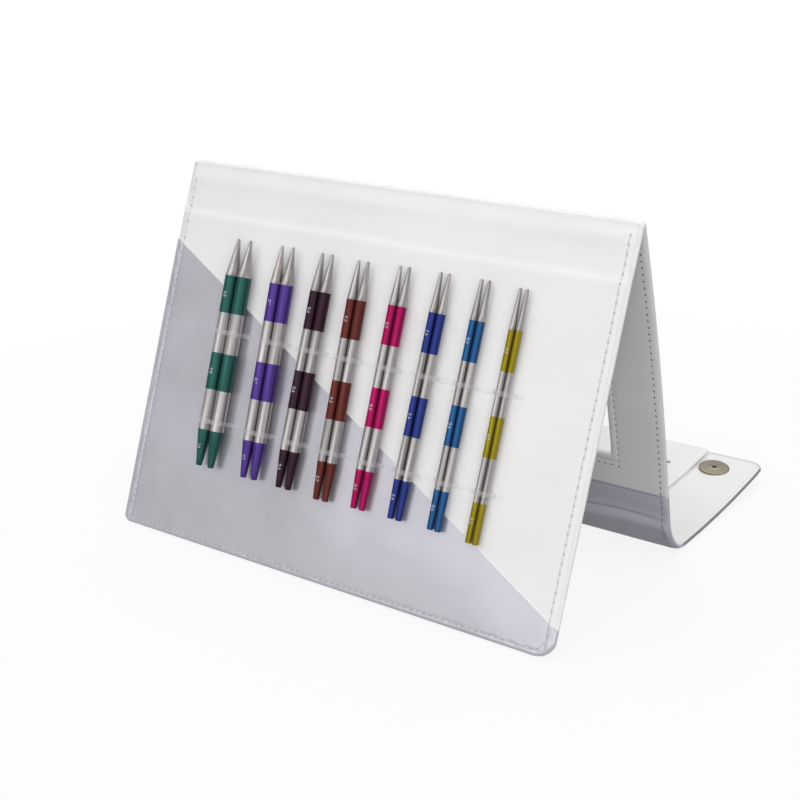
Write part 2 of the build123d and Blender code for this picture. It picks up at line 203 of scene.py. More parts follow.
def brushed(name, light, dark, roughness, metallic=1.0, lines=(900.0, 900.0, 12.0)):
    """Drawn metal, with faint lines along the needles and wear."""
    m = Material(name, roughness, Metallic=metallic)
    lean = m.add("ShaderNodeVectorRotate", {"Vector": m.coordinates}, rotation_type="X_AXIS",
                 Angle=math.pi / 2 - NEEDLE_ANGLE)
    drawn = m.add("ShaderNodeMapping", {"Vector": lean.outputs["Vector"]}, Scale=lines)
    streaks = m.noise(1.0, 3.0, drawn.outputs["Vector"])
    m.link(m.ramp(streaks, (0.25, srgb(dark)), (0.75, srgb(light))), "Base Color")
    m.link(m.range(streaks, roughness - 0.03, roughness + 0.05), "Roughness")
    m.link(m.bump(streaks, 0.000004, 0.1), "Normal")
    return m.data


def thread(name, light, dark):
    m = Material(name, 0.7)
    twist = m.add("ShaderNodeTexWave", {"Vector": m.coordinates}, Scale=900.0, Distortion=1.5).outputs["Fac"]
    m.link(m.ramp(twist, (0.0, srgb(dark)), (1.0, srgb(light))), "Base Color")
    m.link(m.bump(twist, 0.0001, 0.6), "Normal")
    return m.data


def clear(name, tint, amount, roughness):
    """Clear plastic: mostly see-through, with a gloss and a faint tint."""
    m = Material(name, roughness, IOR=1.5, Base_Color=srgb(tint))
    cloud = m.noise(45.0, 3.0)
    m.link(m.range(cloud, amount * 0.85, amount * 1.15), "Alpha")
    m.link(m.bump(cloud, 0.0004, 0.15), "Normal")
    m.data.surface_render_method = "BLENDED"
    return m.data


WHITE = leather("white_leather", "ebeaea", "e4e3e3", 0.42)
INNER = leather("white_lining", "efeeee", "e9e8e8", 0.42)
GREY = leather("grey_leather", "c3c2cf", "b9b8c6", 0.4, gloss=0.1)
POCKET = silvered("pocket_sheet", "d3d1da", "c6c4cb")
THREAD = thread("white_thread", "eae9e9", "dbd9d9")
GREY_THREAD = thread("grey_thread", "a5a4b2", "8d8c9c")
POCKET_THREAD = thread("pocket_thread", "e0dee8", "cfcdd8")
# Needle holes: dots painted dark as the shade in each hole, darkest on the covers in shade and paler on the lit
# lining and pocket
PAINTED_HOLE_SHADE = leather("painted_needle_hole_shade", "5f5a58", "4e4a49", 0.8)
SHADE_HOLE = leather("shaded_hole", "83817f", "767473", 0.8)
FAINT_HOLE_SHADE = leather("faint_hole_shade", "c4bbba", "b4abab", 0.8)
PALE_HOLE_SHADE = leather("pale_hole_shade", "cac7c7", "bfbcbc", 0.8)
POCKET_HOLE_SHADE = leather("pocket_hole_shade", "b3b1bd", "a3a1ae", 0.8)
# Dark grey painted on the flap's rim as the shade under its edge
EDGE_SHADE = leather("painted_edge_shade", "8b8a8d", "807f82", 0.55)
SILVER = brushed("turned_steel", "cecac9", "858182", 0.34, lines=(560.0, 560.0, 5.0))
NICKEL = brushed("aged_nickel", "968e80", "7f7769", 0.4, lines=(900.0, 900.0, 900.0))
# Nickel painted dark as the shade inside the socket's bore
BORE_SHADE_NICKEL = brushed("nickel_bore_shade", "4a453e", "2e2a25", 0.45, lines=(900.0, 900.0, 900.0))
ELASTIC = clear("clear_elastic", "f2f1f3", 0.12, 0.2)
FILM = clear("clear_film", "eef0f2", 0.1, 0.08)
MARK = leather("laser_mark", "cfccd2", "bab7bd", 0.6)
ANODISED = [
    ("needle_green", "2e645e", "204f4a"),
    ("needle_purple", "593f96", "47317a"),
    ("needle_plum", "3c2332", "2c1825"),
    ("needle_brown", "6d322b", "552620"),
    ("needle_magenta", "b00f60", "900a4c"),
    ("needle_dark_blue", "2d3f8c", "222f70"),
    ("needle_light_blue", "2a6196", "1f4c7a"),
    ("needle_olive", "a0901e", "827415"),
]
COLOURS = [brushed(*row, 0.33, metallic=0.75) for row in ANODISED]


# ---- the profile

def joint_place(name):
    x, y, z = next(j["pos_m"] for j in frame["joints"] if j["name"] == name)
    return y / MM, z / MM


CREASE = joint_place("crease_hinge")
RIDGE = joint_place("ridge_hinge")
LOWER = joint_place("lower_hinge")
BEND = joint_place("flap_hinge")


def ahead(start, angle, length):
    return start[0] + length * math.cos(angle), start[1] + length * math.sin(angle)


class Panel:
    """A panel's profile: s runs along it from its first axis, c is the height out of its lining."""

    def __init__(self, start, end, bow=0.0):
        self.start = start
        self.angle = math.atan2(end[1] - start[1], end[0] - start[0])
        self.length = math.dist(start, end)
        self.bow = bow
        self.side = 1 if bow > 0 else -1
        self.arc = self.length
        if bow:
            self.radius = (self.length ** 2 / 4 + bow ** 2) / (2 * abs(bow))
            self.half_angle = math.asin(self.length / 2 / self.radius)
            self.arc = 2 * self.half_angle * self.radius

    def at(self, s, c=0.0):
        along, up = s, c
        if self.bow:
            a = s / self.radius - self.half_angle
            r = self.radius + self.side * c
            along = self.length / 2 + r * math.sin(a)
            up = self.bow + self.side * (r * math.cos(a) - self.radius)
        cos, sin = math.cos(self.angle), math.sin(self.angle)
        return Vector((self.start[0] + along * cos - up * sin, self.start[1] + along * sin + up * cos))

    def heading(self, s):
        if not self.bow:
            return self.angle
        return self.angle + self.side * (self.half_angle - s / self.radius)


FOOT = ahead(CREASE, NEEDLE_ANGLE, -PANEL_LENGTH)
FREE_END = ahead(BEND, FLAP_ANGLE, FLAP_LENGTH)
NEEDLE = Panel(FOOT, CREASE)
TOP = Panel(CREASE, RIDGE)
BACK = Panel(RIDGE, LOWER, BACK_BOW)
BOTTOM = Panel(LOWER, BEND, SPINE_BOW)
FLAP = Panel(BEND, FREE_END, FLAP_BOW)


class Chain:
    """Two neighbouring panels with a soft bend of leather over their axis; u runs along both."""

    def __init__(self, first, second, reach):
        self.first, self.second, self.reach = first, second, reach
        self.axis = first.arc

    def flat(self, u, c):
        a, b, g = self.first, self.second, self.reach
        t = (u - self.axis + g) / (2 * g)
        if t <= 0:
            return a.at(u, c)
        if t >= 1:
            return b.at(u - self.axis, c)
        p0, p1 = a.at(a.arc - g, c), b.at(g, c)
        h0, h1 = a.heading(a.arc - g), b.heading(g)
        d = (p1 - p0).length
        m0 = Vector((math.cos(h0), math.sin(h0))) * d
        m1 = Vector((math.cos(h1), math.sin(h1))) * d
        return (
            p0 * (2 * t ** 3 - 3 * t ** 2 + 1)
            + m0 * (t ** 3 - 2 * t ** 2 + t)
            + p1 * (3 * t ** 2 - 2 * t ** 3)
            + m1 * (t ** 3 - t ** 2)
        )

    def point(self, x, u, c):
        y, z = self.flat(u, c)
        return Vector((x, y, z)) * MM

    def frame(self, u, c):
        """Directions along the path and out of the lining, at u."""
        along = (self.flat(u + 0.3, c) - self.flat(u - 0.3, c)).normalized()
        return Vector((0, along.x, along.y)), Vector((0, -along.y, along.x))


FRONT = Chain(NEEDLE, TOP, 3.0)
REAR = Chain(BACK, BOTTOM, 5.0)
TAIL = Chain(BOTTOM, FLAP, 6.5)
CREASE_U = NEEDLE.arc
RIDGE_U = CREASE_U + SPINE_LENGTH
RIDGE_TURN = TOP.angle - BACK.heading(0)
LOWER_U = BACK.arc
BEND_U = BOTTOM.arc
TAIL_END = BEND_U + FLAP.arc
MID_SPINE = 14.0

# Distances of the seams from the middle and from the free ends, and of the skins' grids from the edges
FRONT_SEAM = 134.5
REAR_SEAM = 135.7
FLAP_SEAM = 136.8
END_INSET = 3.0
BAND_SEAM = 1.1
LINING_INSET = 1.6
COVER_INSET = 1.8
CORNER_ZONE = 24.0
EDGE_FALL = 0.36
FINE = (0.6, 1.2, 1.8, 2.4, 3.0, 3.6, 4.2, 4.9, 6.0)


# ---- geometry

def make_object(name, bm, material):
    bmesh.ops.recalc_face_normals(bm, faces=bm.faces)
    mesh = bpy.data.meshes.new(name)
    bm.to_mesh(mesh)
    bm.free()
    mesh.shade_smooth()
    piece = bpy.data.objects.new(name, mesh)
    bpy.context.scene.collection.objects.link(piece)
    for m in material if isinstance(material, list) else [material]:
        mesh.materials.append(m)
    return piece


def spread(low, high, step, *fine):
    """Grid lines from low to high. fine lists closer ones, as distances from either end, and then the
    ends themselves are lines only where 0 is among them."""
    lines = [low + d for d in fine] + [high - d for d in fine]
    start, stop = low + max(fine, default=0), high - max(fine, default=0)
    count = max(1, round((stop - start) / step))
    lines += [start + (stop - start) * i / count for i in range(count + 1)]
    return sorted(set(round(v, 4) for v in lines))


def with_lines(lines, *more):
    kept = [v for v in lines if min(abs(v - m) for m in more) > 0.45]
    return sorted(round(v, 4) for v in kept + list(more))


def ripple(*place):
    """Soft noise between about -1 and 1."""
    return noise.noise(Vector(place))


def bell(distance, width):
    """1 at a line, falling away on both sides of it."""
    return math.exp(-(distance / width) ** 2)


def bridge(bm, a, b, closed):
    faces = []
    count = len(a)
    for k in range(count if closed else count - 1):
        n = (k + 1) % count
        faces.append(bm.faces.new([a[k], a[n], b[n], b[k]]))
    return faces


def fill(bm, grid, last_i, last_j, skip=lambda i, j: False):
    for i in range(last_i):
        for j in range(last_j):
            if not skip(i, j):
                bm.faces.new([grid[i, j], grid[i + 1, j], grid[i + 1, j + 1], grid[i, j + 1]])


def roll(bm, chain, before, base, rim, closed=False):
    """Rings that carry an edge on, each (outward, level) of rim. base has the place and outward of each point."""
    made = []
    for out, height in rim:
        ring = [bm.verts.new(chain.point(x + n * out, u + m * out, height)) for (x, u), (n, m) in base]
        made.append(bridge(bm, before, ring, closed))
        before = ring
    return made


def skin(
    name, chain, material, xs, us, level, relief, rim,
    low=None, high=None, hole=None, hole_rim=(), painted=(0, 0),
):
    """One leather skin: a grid over the panel, with its free edges rolled round.

    xs and us are the grid lines. low and high are the left and right corner radii of free ends, or
    None where the skin runs on. hole is (left, right, start, end). rim and hole_rim list the
    (outward, level) of each further ring of points. Between the lengths in painted, the rim has the
    second material, which on the flap is a painted shade under its edge.
    """
    edge = xs[-1]
    zone = edge - CORNER_ZONE
    bm = bmesh.new()
    places, grid = {}, {}

    def corners(x, u):
        for radii, distance, sign in ((low, u - us[0], -1), (high, us[-1] - u, 1)):
            radius = radii[x > 0] if radii else 0
            if distance < radius:
                yield radius, distance, sign

    for j, u in enumerate(us):
        for i, x in enumerate(xs):
            width = edge
            for radius, distance, sign in corners(x, u):
                width = edge - radius + math.sqrt(radius ** 2 - (radius - distance) ** 2)
            if abs(x) > zone:
                x = math.copysign(zone + (abs(x) - zone) * (width - zone) / (edge - zone), x)
            places[i, j] = (x, u)
            grid[i, j] = bm.verts.new(chain.point(x, u, level + relief(x, u)))

    def inside(i, j):
        return hole and hole[0] <= xs[i] < hole[1] and hole[2] <= us[j] < hole[3]

    last_i, last_j = len(xs) - 1, len(us) - 1
    fill(bm, grid, last_i, last_j, inside)
    left = [(0, j) for j in range(last_j, -1, -1)]
    right = [(last_i, j) for j in range(last_j + 1)]
    bottom = [(i, 0) for i in range(1, last_i)]
    top = [(i, last_j) for i in range(last_i - 1, 0, -1)]
    if low is None and high is None:
        loops = [(left, False), (right, False)]
    elif high is None:
        loops = [(left + bottom + right, False)]
    elif low is None:
        loops = [(right + top + left, False)]
    else:
        loops = [(left + bottom + right + top, True)]

    def outward(i, j):
        x, u = places[i, j]
        for radius, distance, sign in corners(x, u):
            if abs(x) >= edge - radius - 1e-6:
                side = (abs(x) - (edge - radius)) / radius
                end = (radius - distance) / radius
                length = math.hypot(side, end) or 1.0
                return math.copysign(side / length, x), sign * end / length
        if i in (0, last_i):
            return math.copysign(1.0, x), 0.0
        return 0.0, (-1.0 if j == 0 else 1.0)

    for loop, closed in loops:
        base = [(places[at], outward(*at)) for at in loop]
        for k, faces in enumerate(roll(bm, chain, [grid[at] for at in loop], base, rim, closed)):
            for face, ((x, u), normal) in zip(faces, base):
                face.material_index = int(k > 0 and painted[0] < u < painted[1])
    if hole:
        i0, i1 = xs.index(hole[0]), xs.index(hole[1])
        j0, j1 = us.index(hole[2]), us.index(hole[3])
        loop = [(i, j0) for i in range(i0, i1)] + [(i1, j) for j in range(j0, j1)]
        loop += [(i, j1) for i in range(i1, i0, -1)] + [(i0, j) for j in range(j1, j0, -1)]
        base = [((xs[i], us[j]), ((i == i0) - (i == i1), (j == j0) - (j == j1))) for i, j in loop]
        roll(bm, chain, [grid[at] for at in loop], base, hole_rim, True)
        for face in [f for f in bm.faces if f.calc_area() < 1e-12]:
            bm.faces.remove(face)
    piece = make_object(name, bm, material)
    smooth_ends(piece, chain, [u for u, free in ((us[0], low), (us[-1], high)) if free is None])
    return piece


def smooth_ends(piece, chain, ends):
    """Shades the rows where a skin meets the next one as if they ran on."""
    if not ends:
        return
    cuts = [(chain.point(0, u, 0), chain.frame(u, 0)[0]) for u in ends]
    normals = []
    for v in piece.data.vertices:
        n = v.normal.copy()
        for middle, along in cuts:
            offset = v.co - middle
            if abs(offset.dot(along)) < 1e-5 and offset.yz.length < 0.006:
                n = (n - along * n.dot(along)).normalized()
        normals.append(n)
    piece.data.normals_split_custom_set_from_vertices(normals)


def inner(radii, inset):
    return tuple(r - inset for r in radii)


def channel(x, u, seam_x, low=-math.inf, high=math.inf, depth=0.16):
    """The dip along a line of stitching near the edges."""
    return -depth * bell(min(seam_x - abs(x), u - low - END_INSET, high - END_INSET - u), 0.7)


# The rolled edges, as (outward, level) from the grid's edge round to the other skin
LINING_RIM = [(0.4, 1.78), (0.8, 1.68), (1.1, 1.54), (1.1, 1.4), (0.4, 1.3)]
COVER_RIM = [
    (0.5, -0.33), (1.0, -0.14), (1.45, 0.14), (1.72, 0.5), (1.76, 0.9), (1.6, 1.22), (1.25, 1.38), (0.4, 1.3),
]
FLAP_RIM = COVER_RIM[:4] + [(1.78, 1.0), (1.72, 1.5), (1.5, 1.76), (1.2, 1.84), (0.4, 1.7)]


def edge_fall(x, u, low=-math.inf, high=math.inf, margin=4.8, depth=EDGE_FALL):
    """The leather outside the stitching slopes off towards the edge."""
    d = min(HALF - abs(x), u - low, high - u)
    return depth * min(1.0, max(0.0, (margin - d) / (margin - COVER_INSET))) ** 1.4


def ridge_swell(x, turn):
    """How far the leather stands off round the ridge, from the top spine (turn 0) to the back panel (1)."""
    ends = 1 - 0.5 * math.exp((abs(x) - HALF) / 7)
    drift = ripple(x / 45, 1.5, 4.4)
    if not 0 <= turn <= 1:
        return 0.4 * ends * math.exp(-4 * (-turn if turn < 0 else turn - 1))
    return (0.4 + (0.7 + 0.35 * drift) * math.sin(math.pi * turn)) * ends


def front_relief(x, u):
    """The needle panel and top spine: a step and a soft crown at the crease, and a groove by the edges."""
    if u > RIDGE_U:
        lip = 0.03 - 0.3 * max(0.0, (u - RIDGE_U - LINING_UP) / 0.6) - edge_fall(x, u)
        return lip + ridge_swell(x, (u - RIDGE_U) / LINING_UP / RIDGE_TURN)
    s = u - CREASE_U
    drift = ripple(x / 50, 0.4, 8.3)
    near_ridge = min(1.0, (RIDGE_U - u) / 4)
    soft = 0.15 * ripple(x / 34, u / 26, 3.1)
    place = s - 1.5 - drift
    shelf = -(0.34 + 0.15 * drift) * math.tanh(place / 1.5) * bell(place, 8)
    crown = (0.42 + 0.35 * drift) * bell(s - 20, 4.5)
    dent = 0.3 * bell(x - 121, 12) * bell(s - 22.5, 2.6)
    swell = ridge_swell(x, 0) * bell(RIDGE_U - u, 9)
    seam = channel(x, u, FRONT_SEAM, low=0.0, depth=0.08) - edge_fall(x, u, low=0.0)
    groove = 0.7 * bell(HALF - abs(x) - 2.8, 0.35)
    return (soft + shelf + crown + dent) * near_ridge + swell + 0.03 + seam - groove


FLEX = {
    "front": (FRONT, "needle_panel", "top_spine"),
    "rear": (REAR, "back_panel", "bottom_spine"),
    "tail": (TAIL, "bottom_spine", "flap"),
}


def flex(piece, where, slot=None, *nodes):
    """The piece's place is baked into its mesh, and where a slot is given it stands for some nodes of the part.
    """
    chain, first, second = FLEX[where]
    start, end = (chain.point(0, chain.axis + side * chain.reach, 0) for side in (-1, 1))
    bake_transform(piece)
    if slot:
        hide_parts(*nodes)


def dress(piece, body, slot, *nodes):
    """The piece rides on one body, and stands for some nodes of the part."""
    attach(piece, body)
    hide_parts(*nodes)


xs_lining = spread(-HALF + LINING_INSET, HALF - LINING_INSET, 3.0, *FINE)
xs_cover = spread(-HALF + COVER_INSET, HALF - COVER_INSET, 5.0, *FINE)


class Lipped(Chain):
    """The front chain, carried on over the ridge as a lip of leather."""

    def flat(self, u, c):
        if u <= RIDGE_U:
            return super().flat(u, c)
        angle = self.second.angle + math.pi / 2 - (u - RIDGE_U) / LINING_UP
        return Vector((RIDGE[0] + c * math.cos(angle), RIDGE[1] + c * math.sin(angle)))


LIPPED = Lipped(NEEDLE, TOP, FRONT.reach)
us_front = [LINING_INSET + d for d in (0, *FINE)] + spread(LINING_INSET + 8, CREASE_U - 6.85, 3.0)
us_front += [CREASE_U - 6 + 0.85 * k for k in range(40)] + [RIDGE_U + 0.35 * k for k in range(9)]

front_lining = skin(
    "front_lining", LIPPED, INNER, xs_lining, us_front, LINING_UP, front_relief, LINING_RIM,
    low=inner(FOOT_RADII, LINING_INSET),
)
flex(
    front_lining, "front", "lining",
    "needle_panel_lining", "needle_panel_board", "top_spine_lining", "top_spine_board",
)


def cover_relief(seam_x, low=-math.inf, high=math.inf):
    def relief(x, u):
        soft = 0.12 * ripple(x / 45, u / 30, 5.0)
        return soft - channel(x, u, seam_x, low, high) + edge_fall(x, u, low, high)
    return relief


front_cover_relief = cover_relief(FRONT_SEAM, low=0.0)
flap_cover_relief = cover_relief(FLAP_SEAM, high=TAIL_END)
us = spread(COVER_INSET, RIDGE_U - 0.5, 6.0, *FINE)
us = sorted(set(us + [CREASE_U + d for d in (-4.5, -3, -2, -1, 0, 1, 2, 3, 4.5)]))
front_cover = skin(
    "front_cover", FRONT, WHITE, xs_cover, us, -AXIS_UP, front_cover_relief, COVER_RIM,
    low=inner(FOOT_RADII, COVER_INSET),
)
flex(front_cover, "front", "white_leather", "needle_panel_cover", "top_spine_cover", "crease_fold")


class Rolled(Chain):
    """The rear chain, carried on backwards round the ridge as a roll of leather."""

    def flat(self, u, c):
        if u >= 0:
            return super().flat(u, c)
        turn = min(-u / LINING_UP, 1.5 * math.pi)
        angle = self.first.heading(0) + math.pi / 2 + turn
        r = c
        if turn > math.pi / 2:
            r = min(c, AXIS_UP / max(math.sin(turn - math.pi / 2), 1e-3))
        return Vector((RIDGE[0] + r * math.cos(angle), RIDGE[1] + r * math.sin(angle)))


ROLLED = Rolled(BACK, BOTTOM, REAR.reach)
ROLL = -1.5 * math.pi * LINING_UP

# Grid lines round the window, out from its clear edge
STEPS = (0.9, 1.6, 2.4, 3.2, 3.8, 4.3, 4.9, 6.0)
window_x = [side * (WINDOW_HALF + d) for side in (-1, 1) for d in STEPS]
window_u = [WINDOW_TOP - d for d in STEPS] + [WINDOW_BOTTOM + d for d in STEPS]
WINDOW_HOLE = tuple(round(v, 4) for v in (
    -WINDOW_HALF - STEPS[0], WINDOW_HALF + STEPS[0], WINDOW_TOP - STEPS[0], WINDOW_BOTTOM + STEPS[0],
))


def window_channel(x, u):
    """The strip bound round the window, and the dip along its stitching 4 mm out."""
    d = max(abs(x) - WINDOW_HALF, WINDOW_TOP - u, u - WINDOW_BOTTOM)
    strip = 0.4 * max(0.0, 1 - ((d - 1.8) / 2.2) ** 2) if -0.5 < d < 4.2 else 0.0
    return strip - 0.2 * bell(d - 4.3, 0.5)


def rear_lining_relief(x, u):
    """Where u is below 0, the leather rolls round the ridge."""
    if u <= 0:
        return ridge_swell(x, 1 + u / LINING_UP / RIDGE_TURN) - edge_fall(x, u)
    soft = 0.12 * ripple(x / 40, u / 30, 2.0) * min(1.0, u / 6)
    swell = ridge_swell(x, 1) * bell(u, 6)
    return soft + swell + channel(x, u, REAR_SEAM) - edge_fall(x, u) + window_channel(x, u)


us = [ROLL * (1 - k / 30) for k in range(30)] + spread(0.0, LOWER_U + MID_SPINE, 5.0, 0, 1.5, 3.0, 5.0, 7.5)
us = with_lines(us, *window_u)
xs = with_lines(xs_lining, *window_x)
rear_lining = skin(
    "rear_lining", ROLLED, INNER, xs, us, LINING_UP,
    rear_lining_relief, LINING_RIM + [(0.4, 0.1)],
    hole=WINDOW_HOLE, hole_rim=[(0.5, 2.2), (0.8, 1.8), (0.9, 1.2), (0.9, 0.6)],
)
flex(rear_lining, "rear", "lining", "back_panel_lining", "back_panel_board", "ridge_fold")


def rear_cover_relief(x, u):
    soft = 0.2 * ripple(x / 45, u / 30, 7.0)
    return soft - channel(x, u, REAR_SEAM) + edge_fall(x, u) - window_channel(x, u)


us = with_lines(spread(0.6, BAND_START + 1.5, 6.0), *window_u)
xs = with_lines(xs_cover, *window_x)
rear_cover = skin(
    "rear_cover", REAR, WHITE, xs, us, -AXIS_UP, rear_cover_relief, COVER_RIM,
    hole=WINDOW_HOLE, hole_rim=[(0.5, -0.8), (0.8, -0.4), (0.9, 0.2), (0.9, 0.7)],
)
dress(rear_cover, "back_panel", "white_leather", "back_panel_cover")


def band_relief(x, u):
    """The grey band: a fold along the hinge, a bulge below it, a hollow above it and small puckers."""
    v = u - LOWER_U
    drift = ripple(x / 38, 0.7, 3.3)
    edge = -0.35 * bell(u - BAND_START, 5)
    fold = 1.6 * bell(v + 0.5 - 2.2 * drift, 1.3) * min(1.0, (138 - abs(x)) / 22)
    bulge = -(1.2 + 0.5 * drift) * bell(v - 4.5 - 2.2 * drift, 3.4)
    hollow = 0.45 * bell(v + 6, 3.5)
    pucker = 0.35 * ripple(x / 30, u / 10, 4.0) * (1 - bell(u - BAND_START, 5))
    seam = 0.16 * bell(u - BAND_START - BAND_SEAM, 0.6)
    meet = min(1.0, (MID_SPINE - v) / 5)
    return edge + (fold + bulge + hollow + pucker) * meet + seam - channel(x, u, REAR_SEAM) + edge_fall(x, u)


us = spread(BAND_START, LOWER_U + MID_SPINE, 0.8, 0, 0.3, 0.8, 1.4, 2.0, 2.6, 3.4)
rear_band = skin("rear_band", REAR, GREY, xs_cover, us, -AXIS_UP, band_relief, FLAP_RIM)
flex(
    rear_band, "rear", "grey_leather",
    "back_panel_band", "bottom_spine_cover", "lower_fold", "bottom_spine_board",
)


def tail_band_relief(x, u):
    edge = -0.09 * bell(u - BEND_U - FLAP_BAND, 5)
    meet = min(1.0, (u - MID_SPINE) / 6)
    pucker = 0.15 * ripple(x / 38, u / 9, 6.0) * meet
    return edge + pucker - channel(x, u, REAR_SEAM) + edge_fall(x, u)


us = spread(MID_SPINE, BEND_U + FLAP_BAND, 2.0)
# Between these lengths the flap's rim is painted dark as the shade under its edge
EDGE_SHADE_SPAN = (BEND_U + 3, TAIL_END - 12)  # where the flap's cut edge is painted dark
tail_band = skin(
    "tail_band", TAIL, [GREY, EDGE_SHADE], xs_cover, us, -AXIS_UP, tail_band_relief, FLAP_RIM, painted=EDGE_SHADE_SPAN,
)
flex(tail_band, "tail", "grey_leather", "flap_band", "flap_fold")

us = spread(BEND_U + FLAP_BAND - 1, TAIL_END - COVER_INSET, 6.0, *FINE)
flap_cover = skin(
    "flap_cover_leather", TAIL, [GREY, EDGE_SHADE], xs_cover, us, -AXIS_UP, flap_cover_relief, FLAP_RIM,
    high=inner(FLAP_RADII, COVER_INSET), painted=EDGE_SHADE_SPAN,
)
dress(flap_cover, "flap", "grey_leather", "flap_cover", "flap_board")


def tail_relief(x, u):
    """The flap's lining, crumpled by the edges just past the bend."""
    crumple = bell(u - BEND_U - 11, 5) * bell(abs(x) - 131, 6)
    fold = 0.5 * crumple * math.sin((u - BEND_U) / 2.2 + x / 9)
    soft = 0.12 * ripple(x / 40, u / 30, 9.0) * min(1.0, (u - MID_SPINE) / 6)
    return soft + fold + channel(x, u, FLAP_SEAM, high=TAIL_END) - edge_fall(x, u, high=TAIL_END, margin=3.6)


us = [MID_SPINE] + spread(MID_SPINE, TAIL_END - LINING_INSET, 3.0, *FINE)
tail_lining = skin(
    "tail_lining", TAIL, INNER, xs_lining, us, LINING_UP, tail_relief, LINING_RIM,
    high=inner(FLAP_RADII, LINING_INSET),
)
flex(tail_lining, "tail", "lining", "flap_lining", "bottom_spine_lining")


def pad_relief(x, u):
    edge = min(PAD_HALF - abs(x), u - BEND_U - PAD_START, BEND_U + PAD_END - u)
    crown = 0.25 * (1 - math.exp(-edge / 8))
    return crown + 0.1 * ripple(x / 30, u / 24, 11.0) - 0.12


xs = spread(-PAD_HALF + 0.7, PAD_HALF - 0.7, 5.0, 0.5, 1.2, 2.4, 4.0)
us = spread(BEND_U + PAD_START + 0.7, BEND_U + PAD_END - 0.7, 5.0, 0.5, 1.2, 2.4, 4.0)
pad = skin(
    "flap_pad", TAIL, INNER, xs, us, LINING_UP + PAD_HEIGHT - 0.1, pad_relief,
    [(0.3, 5.05), (0.6, 4.8), (0.7, 4.4), (0.3, 3.5), (-0.5, 2.1)], low=(1.0, 1.0), high=(1.0, 1.0),
)
for v in pad.data.vertices:  # the pad narrows a little towards the bend
    v.co.x *= 1.008 - 0.00027 * (FREE_END[0] - v.co.y / MM)
dress(pad, "flap", "lining", "flap_pad_skin", "flap_pad_core")


def film_relief(x, u):
    return 0.12 * ripple(x / 40, u / 40, 1.7)


FILM_LAP = 4.5
xs = spread(-WINDOW_HALF - FILM_LAP, WINDOW_HALF + FILM_LAP, 9.0)
us = spread(WINDOW_TOP - FILM_LAP, WINDOW_BOTTOM + FILM_LAP, 9.0)
film = skin("window_sheet", REAR, FILM, xs, us, 0.66, film_relief, [(0.05, 0.6), (0.05, 0.5)])
dress(film, "back_panel", "film", "window_film")


# ---- pocket sheet

def diagonal(x):
    return PANEL_LENGTH - OVERLAY_LEFT + (x / WIDTH + 0.5) * (OVERLAY_LEFT - OVERLAY_RIGHT)


def pocket_relief(x, u):
    swell = 0.2 * ripple(x / 55, u / 40, 2.4) + 0.06 * ripple(x / 14, u / 18, 5.2)
    margin = min(HALF - abs(x), u)
    pucker = 0.2 * ripple(x / 2.4, u / 2.4, 7.7) * bell(margin - 3.3, 2.4)
    seam = channel(x, u, FRONT_SEAM, low=0.0, depth=0.12) - edge_fall(x, u, low=0.0, depth=0.12)
    return min(0.24, swell) + pucker + seam


def pocket():
    """A sheet up to the diagonal, rolled over the panel's edges and turned in along the diagonal."""
    edge = HALF - LINING_INSET
    corners = inner(FOOT_RADII, LINING_INSET)
    xs = spread(-edge, edge, 1.6, 0.3, *FINE, 8.0)
    shares = [0, 0.006, 0.012, 0.02, 0.03, 0.045] + [0.06 + 0.92 * k / 90 for k in range(91)]
    shares += [0.99, 0.996, 0.999, 1]
    bm = bmesh.new()
    grid, places = {}, {}
    for i, x in enumerate(xs):
        start = LINING_INSET
        corner = corners[x > 0]
        if abs(x) > edge - corner:
            start += corner - math.sqrt(max(corner ** 2 - (abs(x) - edge + corner) ** 2, 0))
        for j, share in enumerate(shares):
            u = start + share * (diagonal(x) - start)
            places[i, j] = (x, u)
            grid[i, j] = bm.verts.new(FRONT.point(x, u, POCKET_UP + pocket_relief(x, u)))
    last_i, last_j = len(xs) - 1, len(shares) - 1
    fill(bm, grid, last_i, last_j)
    loop = [(0, j) for j in range(last_j, 0, -1)] + [(i, 0) for i in range(last_i + 1)]
    loop += [(last_i, j) for j in range(1, last_j + 1)]
    base = []
    for i, j in loop:
        x, u = places[i, j]
        side, end = 0.0, -1.0
        corner = corners[x > 0]
        if abs(x) > edge - corner:
            side = (abs(x) - edge + corner) / corner
            end = -math.sqrt(max(1 - side ** 2, 0))
        if u > LINING_INSET + corner and i in (0, last_i):
            end = 0.0
        base.append(((x, u), (math.copysign(side, x), end)))
    rim = [(0.5, 2.5), (1.0, 2.22), (1.36, 1.8), (1.52, 1.3), (1.5, 0.95), (1.2, 0.9)]
    roll(bm, FRONT, [grid[at] for at in loop], base, rim)
    base = [((x, diagonal(x)), (0, 1)) for x in xs]
    rim = [(0.05, 2.64), (0.1, 2.52), (0.1, 2.0)]
    roll(bm, FRONT, [grid[i, last_j] for i in range(last_i + 1)], base, rim)
    return make_object("pocket_sheet", bm, POCKET)


dress(pocket(), "needle_panel", "overlay", "diagonal_overlay")


# ---- stitching

def capsule(bm, centre, along, up, length, radius, flat=0.6, index=0):
    """A short thread lying along a seam, or a needle hole painted dark as the shade in it."""
    across = along.cross(up)
    rings = []
    for t in (-1.0, -0.72, 0.0, 0.72, 1.0):
        r = radius * math.sqrt(max(1 - (abs(t) - 0.35) ** 2 / 0.49, 0.12)) if abs(t) > 0.35 else radius
        points = []
        for k in range(6):
            a = math.pi * k / 3
            offset = across * (r * math.cos(a)) + up * (r * flat * math.sin(a))
            points.append(bm.verts.new(centre + (along * (t * length / 2) + offset) * MM))
        rings.append(points)
    faces = [face for a, b in zip(rings, rings[1:]) for face in bridge(bm, a, b, True)]
    for face in faces + [bm.faces.new(rings[0]), bm.faces.new(rings[-1][::-1])]:
        face.material_index = index


